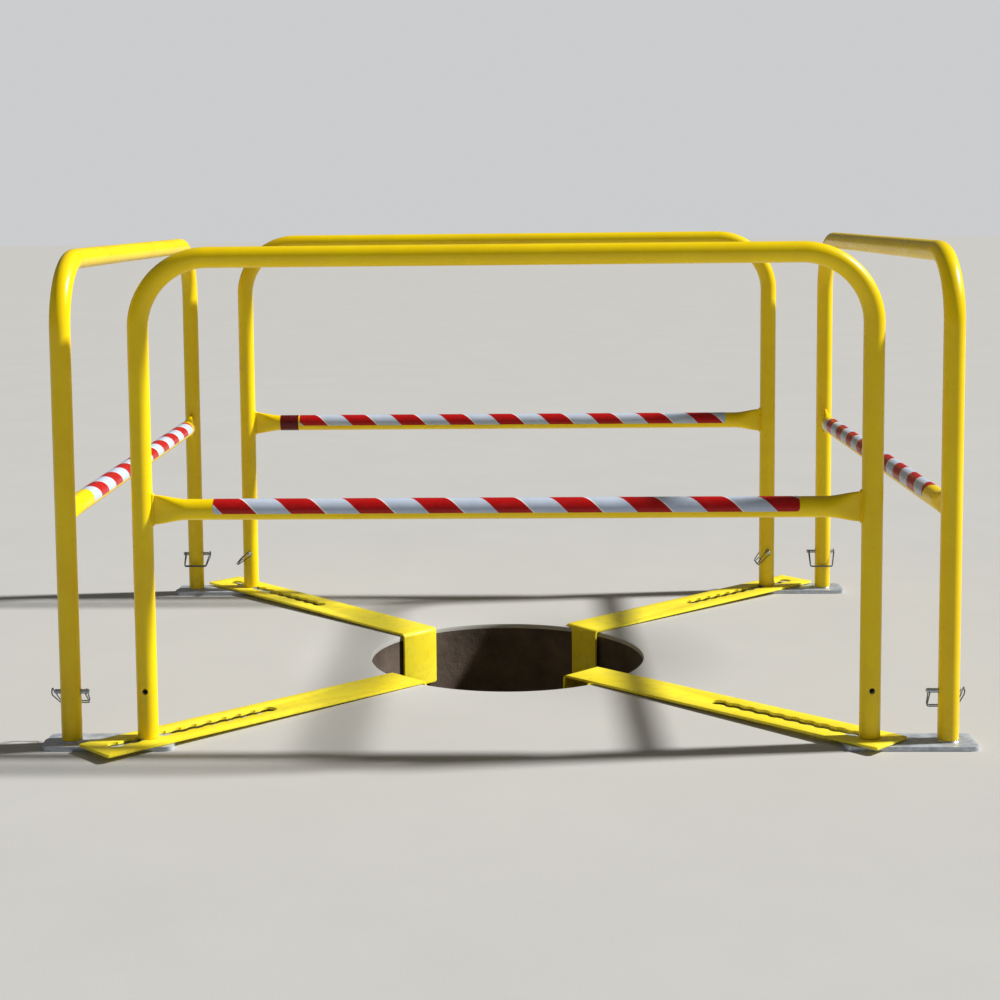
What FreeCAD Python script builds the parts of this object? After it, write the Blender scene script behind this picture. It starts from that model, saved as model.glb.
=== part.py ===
import FreeCAD, Part
import os, math

V = FreeCAD.Vector

# ---------------------------------------------------------------- driving dimensions (mm)
TUBE_OD = 44.45          # panel tube, 1-3/4 in
TUBE_WALL = 2.6
LEG_CC = 1540.0          # leg centre to leg centre of every panel
PANEL_H = 1050.0         # leg bottom to top of the top rail
BEND_R = 150.0           # centreline radius of the two upper bends
MID_H = 494.0            # leg bottom to mid-rail centreline
ROUND_HALF = 672.0       # mid-rail is a round tube up to this distance from its middle
FLAT_H = 64.0            # height of the squashed mid-rail end
FLAT_T = 7.0             # thickness of the squashed mid-rail end
PIN_H = 104.0            # leg bottom to locking-pin hole
PIN_HOLE_D = 12.0

SPACING = 165.0          # between the two spigots of one base plate
PLATE_L, PLATE_W, PLATE_T = 280.0, 100.0, 9.5
PLATE_R = 13.0
PLATE_OUT = 56.0         # plate beyond the outer spigot
SPIGOT_OD, SPIGOT_ID, SPIGOT_TOP = 35.0, 27.0, 165.0   # top above the ground
RING_OD, RING_H = 45.0, 3.5                            # weld ring round the outer spigots

ARM_L, ARM_W, ARM_T = 895.0, 115.0, 6.0
ARM_TILT = 0.72          # degrees: the inner end lies on the ground, the outer end on the plate
LOBES, LOBE_D, LOBE_PITCH, NECK_W, LOBE_MARGIN = 11, 37.5, 40.4, 27.0, 38.0
FLANGE_DEPTH = 143.0     # hook below the ground
GAP = 0.3                # running gap between bodies

TAPE_T = 0.4
TAPE_A0, TAPE_A1 = -17.0, 114.0   # tape edges round the rail, from horizontal towards the top

PIN_D = 10.0
PIN_TAIL, PIN_REACH = 7.0, 70.0          # pin beyond the bail pivot, pivot to tip
BAIL_WIRE = 2.8
BAIL_D, BAIL_N, BAIL_NB = 48.0, 6.6, 2.2  # depth of the bail, half wire spacing at the tip and at the far side

# ground level in the part frame: the origin is level with the hook bottoms
ZG = FLANGE_DEPTH
HALF = LEG_CC / 2.0
XS = HALF + SPACING      # side panels stand one spigot spacing outside the front and rear legs
R_OUT = TUBE_OD / 2.0
R_IN = R_OUT - TUBE_WALL
TT = math.tan(math.radians(ARM_TILT))
ARM_Z0 = PLATE_T + GAP + 73.0 * TT                    # arm underside at its spigot, above ground
LEG_Z_INNER = ARM_Z0 + ARM_T / math.cos(math.radians(ARM_TILT)) + R_OUT * TT + GAP
LEG_Z_OUTER = PLATE_T + RING_H

os.makedirs("parts", exist_ok=True)


def save(name, shape):
    if shape.ShapeType == "Compound" and len(shape.Solids) == 1:
        shape = shape.Solids[0]
    assert shape.isValid(), name
    shape.exportStep("parts/%s.step" % name)
    b = shape.BoundBox
    print("%-26s solids %d vol %.1f cm3  z %.1f..%.1f" % (name, len(shape.Solids), shape.Volume / 1000.0, b.ZMin, b.ZMax))


def ring_face(p, d, ro, ri):
    face = Part.Face(Part.Wire([Part.Circle(p, d, ro).toShape()]))
    if ri:
        face = face.cut(Part.Face(Part.Wire([Part.Circle(p, d, ri).toShape()]))).Faces[0]
    return face


def tube_path(points, bend, ro, ri=None):
    """Round tube or wire along straight runs joined by tangent arcs."""
    if ri:
        return tube_path(points, bend, ro).cut(tube_path(points, bend, ri))
    pts = [V(*p) for p in points]
    bends = bend if isinstance(bend, (list, tuple)) else [bend] * (len(pts) - 2)
    solids, start = [], pts[0]
    for i in range(1, len(pts)):
        d1 = (pts[i] - pts[i - 1]).normalize()
        if i == len(pts) - 1:
            solids.append(ring_face(start, d1, ro, ri).extrude(pts[i] - start))
            break
        d2 = (pts[i + 1] - pts[i]).normalize()
        turn = d1.getAngle(d2)
        t = bends[i - 1] * math.tan(turn / 2.0)
        end = pts[i] - d1 * t
        solids.append(ring_face(start, d1, ro, ri).extrude(end - start))
        axis = d1.cross(d2).normalize()
        centre = end + axis.cross(d1).normalize() * bends[i - 1]
        solids.append(ring_face(end, d1, ro, ri).revolve(centre, axis, math.degrees(turn)))
        start = pts[i] + d2 * t
    out = solids[0].multiFuse(solids[1:])
    return out


def stadium(x, half_h, half_t, n=32):
    """Closed spline section across the rail at x: a circle that flattens to an upright oval."""
    pts = []
    for k in range(n):
        a = 2.0 * math.pi * k / n
        c, s = math.cos(a), math.sin(a)
        # blend of an ellipse and a stadium, by how flat the section is
        e = (half_t * c, half_h * s)
        straight = half_h - half_t
        q = (half_t * c, (half_t * s) + math.copysign(straight, s) * min(1.0, abs(s) * 1.6)) if straight > 0 else e
        w = min(1.0, max(0.0, straight / (half_h * 0.9)))
        pts.append(V(x, e[0] * (1 - w) + q[0] * w, e[1] * (1 - w) + q[1] * w))
    c = Part.BSplineCurve()
    c.interpolate(pts, PeriodicFlag=True)
    return Part.Wire([c.toShape()])


def flat_section(u):
    """half height, half thickness at u = 0 (round) .. 1 (squashed)"""
    s = u * u * (3 - 2 * u)
    return R_OUT + (FLAT_H / 2 - R_OUT) * s, R_OUT + (FLAT_T / 2 - R_OUT) * s


def frame_shape():
    h = PANEL_H - R_OUT
    f = tube_path([(-HALF, 0, 0), (-HALF, 0, h), (HALF, 0, h), (HALF, 0, 0)], BEND_R, R_OUT, R_IN)
    for s in (-1, 1):
        f = f.cut(Part.makeCylinder(PIN_HOLE_D / 2, 60, V(s * HALF, -30, PIN_H), V(0, 1, 0)))
    return f


def rail_shape():
    end = HALF - R_OUT + 1.5
    xs = [(ROUND_HALF + (end - ROUND_HALF) * k / 8.0, k / 8.0) for k in range(9)]
    secs = [stadium(-x, *flat_section(u)) for x, u in reversed(xs)] + [stadium(x, *flat_section(u)) for x, u in xs]
    body = Part.makeLoft(secs, True, True)
    body.translate(V(0, 0, MID_H))
    for s in (-1, 1):
        body = body.cut(Part.makeCylinder(R_OUT, 200, V(s * HALF, 0, MID_H - 100), V(0, 0, 1)))
    bore = Part.makeCylinder(R_IN, 2 * ROUND_HALF - 4, V(-ROUND_HALF + 2, 0, MID_H), V(1, 0, 0))
    return body.cut(bore)


def weld_shapes(rail):
    out = []
    for s in (-1, 1):
        x0, x1 = HALF - R_OUT + 1.2, HALF - R_OUT - 6.0
        c = Part.makeLoft([stadium(s * x0, FLAT_H / 2 + 5, FLAT_T / 2 + 5), stadium(s * x1, FLAT_H / 2 + 1.0, FLAT_T / 2 + 1.0)], True, True)
        c.translate(V(0, 0, MID_H))
        c = c.cut(Part.makeCylinder(R_OUT, 200, V(s * HALF, 0, MID_H - 100), V(0, 0, 1))).cut(rail)
        inner = Part.makeLoft([stadium(s * (HALF - R_OUT + 3), FLAT_H / 2, FLAT_T / 2), stadium(s * (HALF - R_OUT - 8), FLAT_H / 2 - .01, FLAT_T / 2 - .01)], True, True)
        inner.translate(V(0, 0, MID_H))
        c = c.cut(inner)
        big = max(c.Solids, key=lambda q: q.Volume)
        out.append(big)
    return Part.makeCompound(out)


def tape_shape(x0, x1, a0, a1):
    r0, r1 = R_OUT + 0.02, R_OUT + 0.02 + TAPE_T

    def p(r, a):
        # angle 0 faces -Y, 90 faces up
        return V(x0, -r * math.cos(math.radians(a)), MID_H + r * math.sin(math.radians(a)))
    m = (a0 + a1) / 2
    if a1 - a0 >= 360:
        return Part.makeCylinder(r1, x1 - x0, V(x0, 0, MID_H), V(1, 0, 0)).cut(Part.makeCylinder(r0, x1 - x0, V(x0, 0, MID_H), V(1, 0, 0)))
    w = Part.Wire([Part.Arc(p(r1, a0), p(r1, m), p(r1, a1)).toShape(), Part.LineSegment(p(r1, a1), p(r0, a1)).toShape(),
                   Part.Arc(p(r0, a1), p(r0, m), p(r0, a0)).toShape(), Part.LineSegment(p(r0, a0), p(r1, a0)).toShape()])
    return Part.Face(w).extrude(V(x1 - x0, 0, 0))


def place(shape, rot, x, y, z):
    s = shape.copy()
    s.rotate(V(0, 0, 0), V(0, 0, 1), rot)
    s.translate(V(x, y, z))
    return s


# ---------------------------------------------------------------- four tube panels
frame = frame_shape()
rail = rail_shape()
welds = weld_shapes(rail)
PANELS = {
    "front": (0.0, 0.0, -HALF, ZG + LEG_Z_INNER, (-616.0, 616.0)),
    "rear": (0.0, 0.0, HALF, ZG + LEG_Z_INNER, (-613.0, 644.0)),
    "left": (90.0, -XS, 0.0, ZG + LEG_Z_OUTER, (-596.0, 640.0)),
    "right": (-90.0, XS, 0.0, ZG + LEG_Z_OUTER, (-640.0, 596.0)),
}
for name, (rot, x, y, z, (t0, t1)) in PANELS.items():
    save(name + "_frame", place(frame, rot, x, y, z))
    save(name + "_mid_rail", place(rail, rot, x, y, z))
    save(name + "_rail_welds", place(welds, rot, x, y, z))
    save(name + "_tape", place(tape_shape(t0, t1, TAPE_A0, TAPE_A1), rot, x, y, z))
# dark red band wrapped right round the left end of the rear mid-rail
save("rear_tape_band", place(tape_shape(-671.0, -617.5, 0, 360), 0.0, 0.0, HALF, ZG + LEG_Z_INNER))

# ---------------------------------------------------------------- four base plates with their spigots
CORNERS = {"front_left": (-1, -1), "front_right": (1, -1), "rear_left": (-1, 1), "rear_right": (1, 1)}
for name, (sx, sy) in CORNERS.items():
    xo = sx * (XS + PLATE_OUT)
    xi = xo - sx * PLATE_L
    y = sy * HALF
    plate = Part.makeBox(PLATE_L, PLATE_W, PLATE_T, V(min(xo, xi), y - PLATE_W / 2, ZG))
    plate = plate.makeFillet(PLATE_R, [e for e in plate.Edges if abs(e.BoundBox.ZLength - PLATE_T) < 1e-3])
    top = [e for e in plate.Edges if e.BoundBox.ZLength < 1e-3 and abs(e.BoundBox.ZMin - ZG - PLATE_T) < 1e-3]
    plate = plate.makeChamfer(0.8, top)
    save("base_plate_" + name, plate)
    for kind, x, zb, across in (("outer", sx * XS, LEG_Z_OUTER, V(1, 0, 0)), ("inner", sx * HALF, LEG_Z_INNER, V(0, 1, 0))):
        z0 = ZG + PLATE_T
        tube = ring_face(V(x, y, z0), V(0, 0, 1), SPIGOT_OD / 2, SPIGOT_ID / 2).extrude(V(0, 0, ZG + SPIGOT_TOP - z0))
        rim = [e for e in tube.Edges if e.BoundBox.ZLength < 1e-3 and abs(e.BoundBox.ZMin - ZG - SPIGOT_TOP) < 1e-3 and abs(e.BoundBox.XLength - SPIGOT_OD) < 1e-3]
        tube = tube.makeChamfer(2.0, rim)
        c = V(x, y, ZG + zb + PIN_H)
        tube = tube.cut(Part.makeCylinder(PIN_HOLE_D / 2, 60, c - across * 30, across))
        save("spigot_%s_%s" % (kind, name), tube)
    x = sx * XS
    prof = Part.Wire([Part.LineSegment(V(SPIGOT_OD / 2, 0, 0), V(RING_OD / 2 + 0.8, 0, 0)).toShape(),
                      Part.Arc(V(RING_OD / 2 + 0.8, 0, 0), V(RING_OD / 2 - 0.2, 0, RING_H * 0.72), V(RING_OD / 2 - 2.2, 0, RING_H)).toShape(),
                      Part.LineSegment(V(RING_OD / 2 - 2.2, 0, RING_H), V(SPIGOT_OD / 2, 0, RING_H)).toShape(),
                      Part.LineSegment(V(SPIGOT_OD / 2, 0, RING_H), V(SPIGOT_OD / 2, 0, 0)).toShape()])
    ring = Part.Face(prof).revolve(V(0, 0, 0), V(0, 0, 1), 360)
    ring.translate(V(x, y, ZG + PLATE_T))
    save("spigot_weld_" + name, ring)

# ---------------------------------------------------------------- four slotted arms with their hooks
# corner: spigot x and y, direction of the hook in degrees, lobe that takes the spigot (0 is outermost)
ARMS = {
    "front_left": (-HALF, -HALF, 45.0, 2),
    "front_right": (HALF, -HALF, 135.0, 0),
    "rear_left": (-HALF, HALF, -45.0, 2),
    "rear_right": (HALF, HALF, 221.0, 2),
}


def arm_shape(lobe):
    u0 = LOBE_MARGIN + LOBE_D / 2 + lobe * LOBE_PITCH
    a, b = -u0, ARM_L - u0
    tv = ARM_T / math.cos(math.radians(ARM_TILT))

    def zb(u):
        return ARM_Z0 - u * TT
    pts = [(a, zb(a)), (b - ARM_T, zb(b - ARM_T)), (b - ARM_T, -FLANGE_DEPTH), (b, -FLANGE_DEPTH), (b, zb(b) + tv), (a, zb(a) + tv)]
    face = Part.Face(Part.makePolygon([V(x, -ARM_W / 2, z) for x, z in pts + pts[:1]]))
    body = face.extrude(V(0, ARM_W, 0))

    def bend_edges(x, z):
        return [e for e in body.Edges if e.BoundBox.YLength > ARM_W - 1 and abs(e.BoundBox.Center.x - x) < 0.1 and abs(e.BoundBox.Center.z - z) < 0.1]
    body = body.makeFillet(6.0, bend_edges(b - ARM_T, zb(b - ARM_T)))
    body = body.makeFillet(12.0, bend_edges(b, zb(b) + tv))
    corner = [e for e in body.Edges if abs(e.BoundBox.XLength) < 0.2 and abs(e.BoundBox.Center.x - a) < 0.1 and 5 < e.BoundBox.ZLength < 7]
    body = body.makeFillet(4.0, corner)
    corner = [e for e in body.Edges if abs(e.BoundBox.XLength - ARM_T) < 0.01 and e.BoundBox.ZLength < 0.01 and e.BoundBox.YLength < 0.01 and abs(e.BoundBox.ZMin + FLANGE_DEPTH) < 0.01]
    body = body.makeFillet(6.0, corner)
    tools = [Part.makeCylinder(LOBE_D / 2, 40, V((k - lobe) * LOBE_PITCH, 0, -10), V(0, 0, 1)) for k in range(LOBES)]
    tools.append(Part.makeBox((LOBES - 1) * LOBE_PITCH, NECK_W, 40, V(-lobe * LOBE_PITCH, -NECK_W / 2, -10)))
    return body.cut(tools[0].multiFuse(tools[1:]))


for name, (x, y, rot, lobe) in ARMS.items():
    save("arm_" + name, place(arm_shape(lobe), rot, x, y, ZG))

# ---------------------------------------------------------------- six wire-lock pins
# leg x, y, leg bottom above ground, direction head to tip in degrees, side of the bail (+1 left of that direction)
PINS = {
    # x, y, leg bottom, direction, side the bail hangs on, lean of the bail from straight down, bail pivot along the pin
    "left_front": (-XS, -HALF, LEG_Z_OUTER, 180.0, -1, 48.0, -33.0),
    "left_rear": (-XS, HALF, LEG_Z_OUTER, 0.0, -1, 50.0, -30.0),
    "right_front": (XS, -HALF, LEG_Z_OUTER, 0.0, 1, 34.0, -41.0),
    "right_rear": (XS, HALF, LEG_Z_OUTER, 0.0, -1, 34.0, -40.0),
    "rear_left": (-HALF, HALF, LEG_Z_INNER, 90.0, 1, 50.0, -36.0),
    "rear_right": (HALF, HALF, LEG_Z_INNER, 90.0, 1, 40.0, -36.0),
}


def pin_shape(side, lean, px):
    end, tip = px - PIN_TAIL, px + PIN_REACH
    pin = Part.makeCylinder(PIN_D / 2, tip - end, V(end, 0, 0), V(1, 0, 0))
    edge = [e for e in pin.Edges if e.BoundBox.XLength < 1e-3 and abs(e.BoundBox.XMin - tip) < 1e-3]
    pin = pin.makeChamfer(3.0, edge)
    edge = [e for e in pin.Edges if e.BoundBox.XLength < 1e-3 and abs(e.BoundBox.XMin - end) < 1e-3]
    pin = pin.makeChamfer(1.0, edge)
    pin = pin.cut(Part.makeCylinder(BAIL_WIRE / 2 + 0.2, 40, V(px, -20, 0), V(0, 1, 0)))
    pin.rotate(V(0, 0, 0), V(1, 0, 0), side * lean)
    return pin


def bail_shape(side, lean, px):
    n, nb, d, r = BAIL_N, BAIL_NB, BAIL_D, BAIL_WIRE / 2
    lx = px + PIN_REACH + 2.6
    # y is along the cross hole of the pin, -z is away from the pin; the closed end arches over the pin tip
    half = [(px, 0.4, 0), (px, n + 0.6, 0), (px + 1.0, nb, -d), (lx - 8.0, nb, -d), (lx, n, -5.0), (lx, n, n)]
    path = half + [(x, -y, z) for x, y, z in reversed(half)]
    b = tube_path(path, [2.2, 5.0, 5.0, 3.0, 6.4, 6.4, 3.0, 5.0, 5.0, 2.2], r)
    b.rotate(V(0, 0, 0), V(1, 0, 0), side * lean)
    return b


for name, (x, y, z, rot, side, lean, px) in PINS.items():
    save("pin_" + name, place(pin_shape(side, lean, px), rot, x, y, ZG + z + PIN_H))
    save("bail_" + name, place(bail_shape(side, lean, px), rot, x, y, ZG + z + PIN_H))
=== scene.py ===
import bpy
import bmesh
import math
import numpy as np
from mathutils import Matrix, Vector


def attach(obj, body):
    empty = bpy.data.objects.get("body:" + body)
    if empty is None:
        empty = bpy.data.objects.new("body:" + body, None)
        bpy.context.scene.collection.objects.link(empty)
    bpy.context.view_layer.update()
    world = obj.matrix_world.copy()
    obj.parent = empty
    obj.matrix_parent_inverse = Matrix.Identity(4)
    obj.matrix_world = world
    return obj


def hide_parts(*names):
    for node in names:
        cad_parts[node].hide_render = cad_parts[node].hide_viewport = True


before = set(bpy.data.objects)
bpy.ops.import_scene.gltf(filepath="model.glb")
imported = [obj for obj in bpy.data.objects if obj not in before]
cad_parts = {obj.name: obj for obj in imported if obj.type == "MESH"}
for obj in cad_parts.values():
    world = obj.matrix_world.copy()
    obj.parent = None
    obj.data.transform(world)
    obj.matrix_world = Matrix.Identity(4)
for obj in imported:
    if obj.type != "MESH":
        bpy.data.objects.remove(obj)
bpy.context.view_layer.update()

# ------------------------------------------------------------------ dimensions, metres
ZG = 0.143                      # ground level in the part frame
OD, WALL = 0.04445, 0.0026
R = OD / 2
HALF, XS = 0.770, 0.935
PANEL_H, BEND_R, MID_H = 1.050, 0.150, 0.494
ROUND_HALF, FLAT_H, FLAT_T = 0.672, 0.064, 0.007
PIN_H, HOLE_R = 0.104, 0.006
PLATE_L, PLATE_W, PLATE_T, PLATE_R, PLATE_OUT = 0.280, 0.100, 0.0095, 0.013, 0.056
SPIGOT_R, SPIGOT_RI, SPIGOT_TOP = 0.0175, 0.0135, 0.165
ARM_L, ARM_W, ARM_T, TILT = 0.895, 0.115, 0.006, math.radians(0.72)
LOBES, LOBE_R, PITCH, NECK, MARGIN = 11, 0.01875, 0.0404, 0.027, 0.038
TT = math.tan(TILT)
ARM_Z0 = PLATE_T + 0.0003 + 0.073 * TT
LEG_IN = ARM_Z0 + ARM_T / math.cos(TILT) + R * TT + 0.0003
LEG_OUT = PLATE_T + 0.0035
PIN_R, PIN_TAIL, PIN_REACH = 0.005, 0.007, 0.070
WIRE_R, BAIL_D, BAIL_N, BAIL_NB = 0.0014, 0.048, 0.0066, 0.0022
rng = np.random.default_rng(11)

SC = bpy.context.scene.collection


# ------------------------------------------------------------------ mesh helpers
def new_obj(name, verts, faces, uvs=None):
    me = bpy.data.meshes.new(name)
    me.from_pydata([tuple(v) for v in verts], [], faces)
    me.validate()
    if uvs is not None:
        lay = me.uv_layers.new(name="UVMap")
        for loop in me.loops:
            lay.data[loop.index].uv = uvs[loop.vertex_index]
    o = bpy.data.objects.new(name, me)
    SC.objects.link(o)
    fix_normals(o)
    return o


def fix_normals(o):
    bm = bmesh.new()
    bm.from_mesh(o.data)
    bmesh.ops.recalc_face_normals(bm, faces=bm.faces[:])
    bm.to_mesh(o.data)
    bm.free()


def smooth(o, angle=38):
    """Smooth shading with the edges sharper than the angle kept sharp."""
    me = o.data
    bm = bmesh.new()
    bm.from_mesh(me)
    lim = math.radians(angle)
    for f in bm.faces:
        f.smooth = True
    for e in bm.edges:
        e.smooth = not (len(e.link_faces) == 2 and e.calc_face_angle(0) > lim)
    bm.to_mesh(me)
    bm.free()
    return o


def apply_mods(o):
    bpy.context.view_layer.update()
    dg = bpy.context.evaluated_depsgraph_get()
    me = bpy.data.meshes.new_from_object(o.evaluated_get(dg))
    old = o.data
    o.modifiers.clear()
    o.data = me
    me.name = o.name
    bpy.data.meshes.remove(old)
    return o


def bevel(o, width, segs=2, angle=40):
    m = o.modifiers.new("edge", "BEVEL")
    m.width = width
    m.segments = segs
    m.limit_method = "ANGLE"
    m.angle_limit = math.radians(angle)
    m.use_clamp_overlap = True
    return apply_mods(o)


def cut(o, cutters):
    """Boolean holes."""
    for c in cutters:
        m = o.modifiers.new("hole", "BOOLEAN")
        m.operation = "DIFFERENCE"
        m.solver = "EXACT"
        m.object = c
    apply_mods(o)
    for c in cutters:
        bpy.data.objects.remove(c)
    return o


def transform(o, rot=0.0, loc=(0, 0, 0)):
    o.data.transform(Matrix.Translation(Vector(loc)) @ Matrix.Rotation(math.radians(rot), 4, "Z"))
    return o


def join(name, objs):
    bm = bmesh.new()
    for o in objs:
        bm.from_mesh(o.data)
    me = bpy.data.meshes.new(name)
    bm.to_mesh(me)
    bm.free()
    for o in objs:
        bpy.data.objects.remove(o)
    n = bpy.data.objects.new(name, me)
    SC.objects.link(n)
    return n


def fillet_path(points, radii, step=math.radians(6), run=None):
    """Points along straight runs joined by tangent arcs, with the direction at each."""
    pts = [Vector(p) for p in points]
    if not isinstance(radii, (list, tuple)):
        radii = [radii] * (len(pts) - 2)
    out, start = [], pts[0]

    def add_run(a, b, d):
        n = 1 if not run else max(1, int((b - a).length / run))
        for k in range(n + 1):
            out.append((a.lerp(b, k / n), d.copy()))
    for i in range(1, len(pts)):
        d1 = (pts[i] - pts[i - 1]).normalized()
        if i == len(pts) - 1:
            add_run(start, pts[i], d1)
            break
        d2 = (pts[i + 1] - pts[i]).normalized()
        turn = d1.angle(d2)
        t = radii[i - 1] * math.tan(turn / 2)
        end = pts[i] - d1 * t
        add_run(start, end, d1)
        axis = d1.cross(d2).normalized()
        centre = end + axis.cross(d1).normalized() * radii[i - 1]
        n = max(2, int(math.ceil(turn / step)))
        for k in range(1, n):
            q = Matrix.Rotation(turn * k / n, 3, axis)
            out.append((centre + q @ (end - centre), q @ d1))
        start = pts[i] + d2 * t
    clean = [out[0]]
    for p in out[1:]:
        if (p[0] - clean[-1][0]).length > 1e-6:
            clean.append(p)
    return clean


def frames_along(path, first=None):
    """Parallel-transported frame at every point of a path."""
    t0 = path[0][1]
    n = Vector(first) if first else (Vector((0, 0, 1)) if abs(t0.z) < 0.9 else Vector((0, 1, 0)))
    n = (n - t0 * n.dot(t0)).normalized()
    res, prev = [], t0
    for p, t in path:
        ax = prev.cross(t)
        if ax.length > 1e-9:
            n = Matrix.Rotation(prev.angle(t), 3, ax.normalized()) @ n
        n = (n - t * n.dot(t)).normalized()
        res.append((p, t, n, t.cross(n)))
        prev = t
    return res


def ring_pts(p, n, b, r, seg):
    return [p + n * (r * math.cos(2 * math.pi * k / seg)) + b * (r * math.sin(2 * math.pi * k / seg)) for k in range(seg)]


def bridge(i, j, seg):
    return [(i + k, i + (k + 1) % seg, j + (k + 1) % seg, j + k) for k in range(seg)]


def tube(name, path, ro, ri=None, seg=64, chamfer=0.0006, first=None):
    """A round tube, or a rod with domed ends, along a path."""
    fr = frames_along(path, first)
    rings = []
    (p0, t0, n0, b0), (p1, t1, n1, b1) = fr[0], fr[-1]
    if ri:
        rings.append(ring_pts(p0, n0, b0, ro - chamfer, seg))
        rings.append(ring_pts(p0 + t0 * chamfer, n0, b0, ro, seg))
        for p, t, n, b in fr[1:-1]:
            rings.append(ring_pts(p, n, b, ro, seg))
        rings.append(ring_pts(p1 - t1 * chamfer, n1, b1, ro, seg))
        rings.append(ring_pts(p1, n1, b1, ro - chamfer, seg))
        rings.append(ring_pts(p1, n1, b1, ri + chamfer * 0.6, seg))
        rings.append(ring_pts(p1 - t1 * chamfer * 0.6, n1, b1, ri, seg))
        for p, t, n, b in reversed(fr[1:-1]):
            rings.append(ring_pts(p, n, b, ri, seg))
        rings.append(ring_pts(p0 + t0 * chamfer * 0.6, n0, b0, ri, seg))
        rings.append(ring_pts(p0, n0, b0, ri + chamfer * 0.6, seg))
        verts = [v for r in rings for v in r]
        faces = []
        for i in range(len(rings)):
            faces += bridge(i * seg, ((i + 1) % len(rings)) * seg, seg)
        return new_obj(name, verts, faces)
    for k in (0, 1, 2):
        a = math.radians(90 - 30 * k)
        rings.append(ring_pts(p0 + t0 * (ro * 0.5 * (1 - math.sin(a))), n0, b0, max(1e-5, ro * (0.45 + 0.55 * math.cos(a))), seg))
    for p, t, n, b in fr[1:-1]:
        rings.append(ring_pts(p, n, b, ro, seg))
    for k in (2, 1, 0):
        a = math.radians(90 - 30 * k)
        rings.append(ring_pts(p1 - t1 * (ro * 0.5 * (1 - math.sin(a))), n1, b1, max(1e-5, ro * (0.45 + 0.55 * math.cos(a))), seg))
    verts = [v for r in rings for v in r]
    faces = []
    for i in range(len(rings) - 1):
        faces += bridge(i * seg, (i + 1) * seg, seg)
    faces.append(tuple(range(seg))[::-1])
    faces.append(tuple((len(rings) - 1) * seg + k for k in range(seg)))
    return new_obj(name, verts, faces)


def lathe_x(name, prof, seg=48):
    """Solid of revolution about X from (x, r) pairs."""
    verts, faces = [], []
    for x, r in prof:
        for k in range(seg):
            a = 2 * math.pi * k / seg
            verts.append((x, r * math.cos(a), r * math.sin(a)))
    for i in range(len(prof) - 1):
        faces += bridge(i * seg, (i + 1) * seg, seg)
    faces.append(tuple(range(seg))[::-1])
    faces.append(tuple((len(prof) - 1) * seg + k for k in range(seg)))
    return new_obj(name, verts, faces)


def hole_cutter(centre, axis, r, reach, flare_at=None, seg=40):
    """A round cutter through a tube, flared where it leaves the wall so the hole has a broken edge."""
    if flare_at:
        prof = [(-reach, r + 0.0032), (-flare_at - 0.0006, r + 0.0011), (-flare_at + 0.0010, r), (flare_at - 0.0010, r), (flare_at + 0.0006, r + 0.0011), (reach, r + 0.0032)]
    else:
        prof = [(-reach, r), (reach, r)]
    o = lathe_x("cutter", prof, seg)
    q = Vector((1, 0, 0)).rotation_difference(Vector(axis).normalized())
    o.data.transform(Matrix.Translation(Vector(centre)) @ q.to_matrix().to_4x4())
    return o


# ------------------------------------------------------------------ panel pieces, panel-local: legs along Z at x = +-HALF
def section(x, hh, ht, n=64):
    pts = []
    st = hh - ht
    for k in range(n):
        a = 2 * math.pi * k / n
        c, s = math.cos(a), math.sin(a)
        w = min(1.0, max(0.0, st / (hh * 0.9)))
        qz = ht * s + math.copysign(st, s) * min(1.0, abs(s) * 1.6)
        pts.append((x, ht * c, hh * s * (1 - w) + qz * w))
    return pts


def flat_uv(u):
    s = u * u * (3 - 2 * u)
    return R + (FLAT_H / 2 - R) * s, R + (FLAT_T / 2 - R) * s


def make_frame(name):
    h = PANEL_H - R
    path = fillet_path([(-HALF, 0, 0), (-HALF, 0, h), (HALF, 0, h), (HALF, 0, 0)], BEND_R, step=math.radians(3))
    zs = [PIN_H - 0.012, PIN_H + 0.012, 0.30, 0.60]
    extra = []
    for p, d in path:
        extra.append((p, d))
    first_leg = [(Vector((-HALF, 0, z)), Vector((0, 0, 1))) for z in zs]
    last_leg = [(Vector((HALF, 0, z)), Vector((0, 0, -1))) for z in reversed(zs)]
    path = [extra[0]] + first_leg + extra[1:-1] + last_leg + [extra[-1]]
    o = tube(name, path, R, R - WALL, seg=80, first=(0, 1, 0))
    cuts = [hole_cutter((s * HALF, 0, PIN_H), (0, 1, 0), HOLE_R, 0.03, R) for s in (-1, 1)]
    cut(o, cuts)
    smooth(o, 35)
    # keep the round wall shading true round the holes
    me = o.data
    cn = np.zeros(len(me.loops) * 3, np.float32)
    me.corner_normals.foreach_get("vector", cn)
    cn = cn.reshape(-1, 3)
    co = np.zeros(len(me.vertices) * 3, np.float32)
    me.vertices.foreach_get("co", co)
    co = co.reshape(-1, 3)
    for poly in me.polygons:
        fn = poly.normal
        for li in poly.loop_indices:
            v = co[me.loops[li].vertex_index]
            if 0.06 < v[2] < 0.14:
                sx = -HALF if v[0] < 0 else HALF
                d = np.array([v[0] - sx, v[1], 0.0])
                r = np.linalg.norm(d)
                if r < 1e-6:
                    continue
                d /= r
                dot = d[0] * fn.x + d[1] * fn.y
                if abs(r - R) < 2.5e-4 and dot > 0.9:
                    cn[li] = d
                elif abs(r - (R - WALL)) < 2.5e-4 and dot < -0.9:
                    cn[li] = -d
    me.normals_split_custom_set([tuple(v) for v in cn])
    return o


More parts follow.
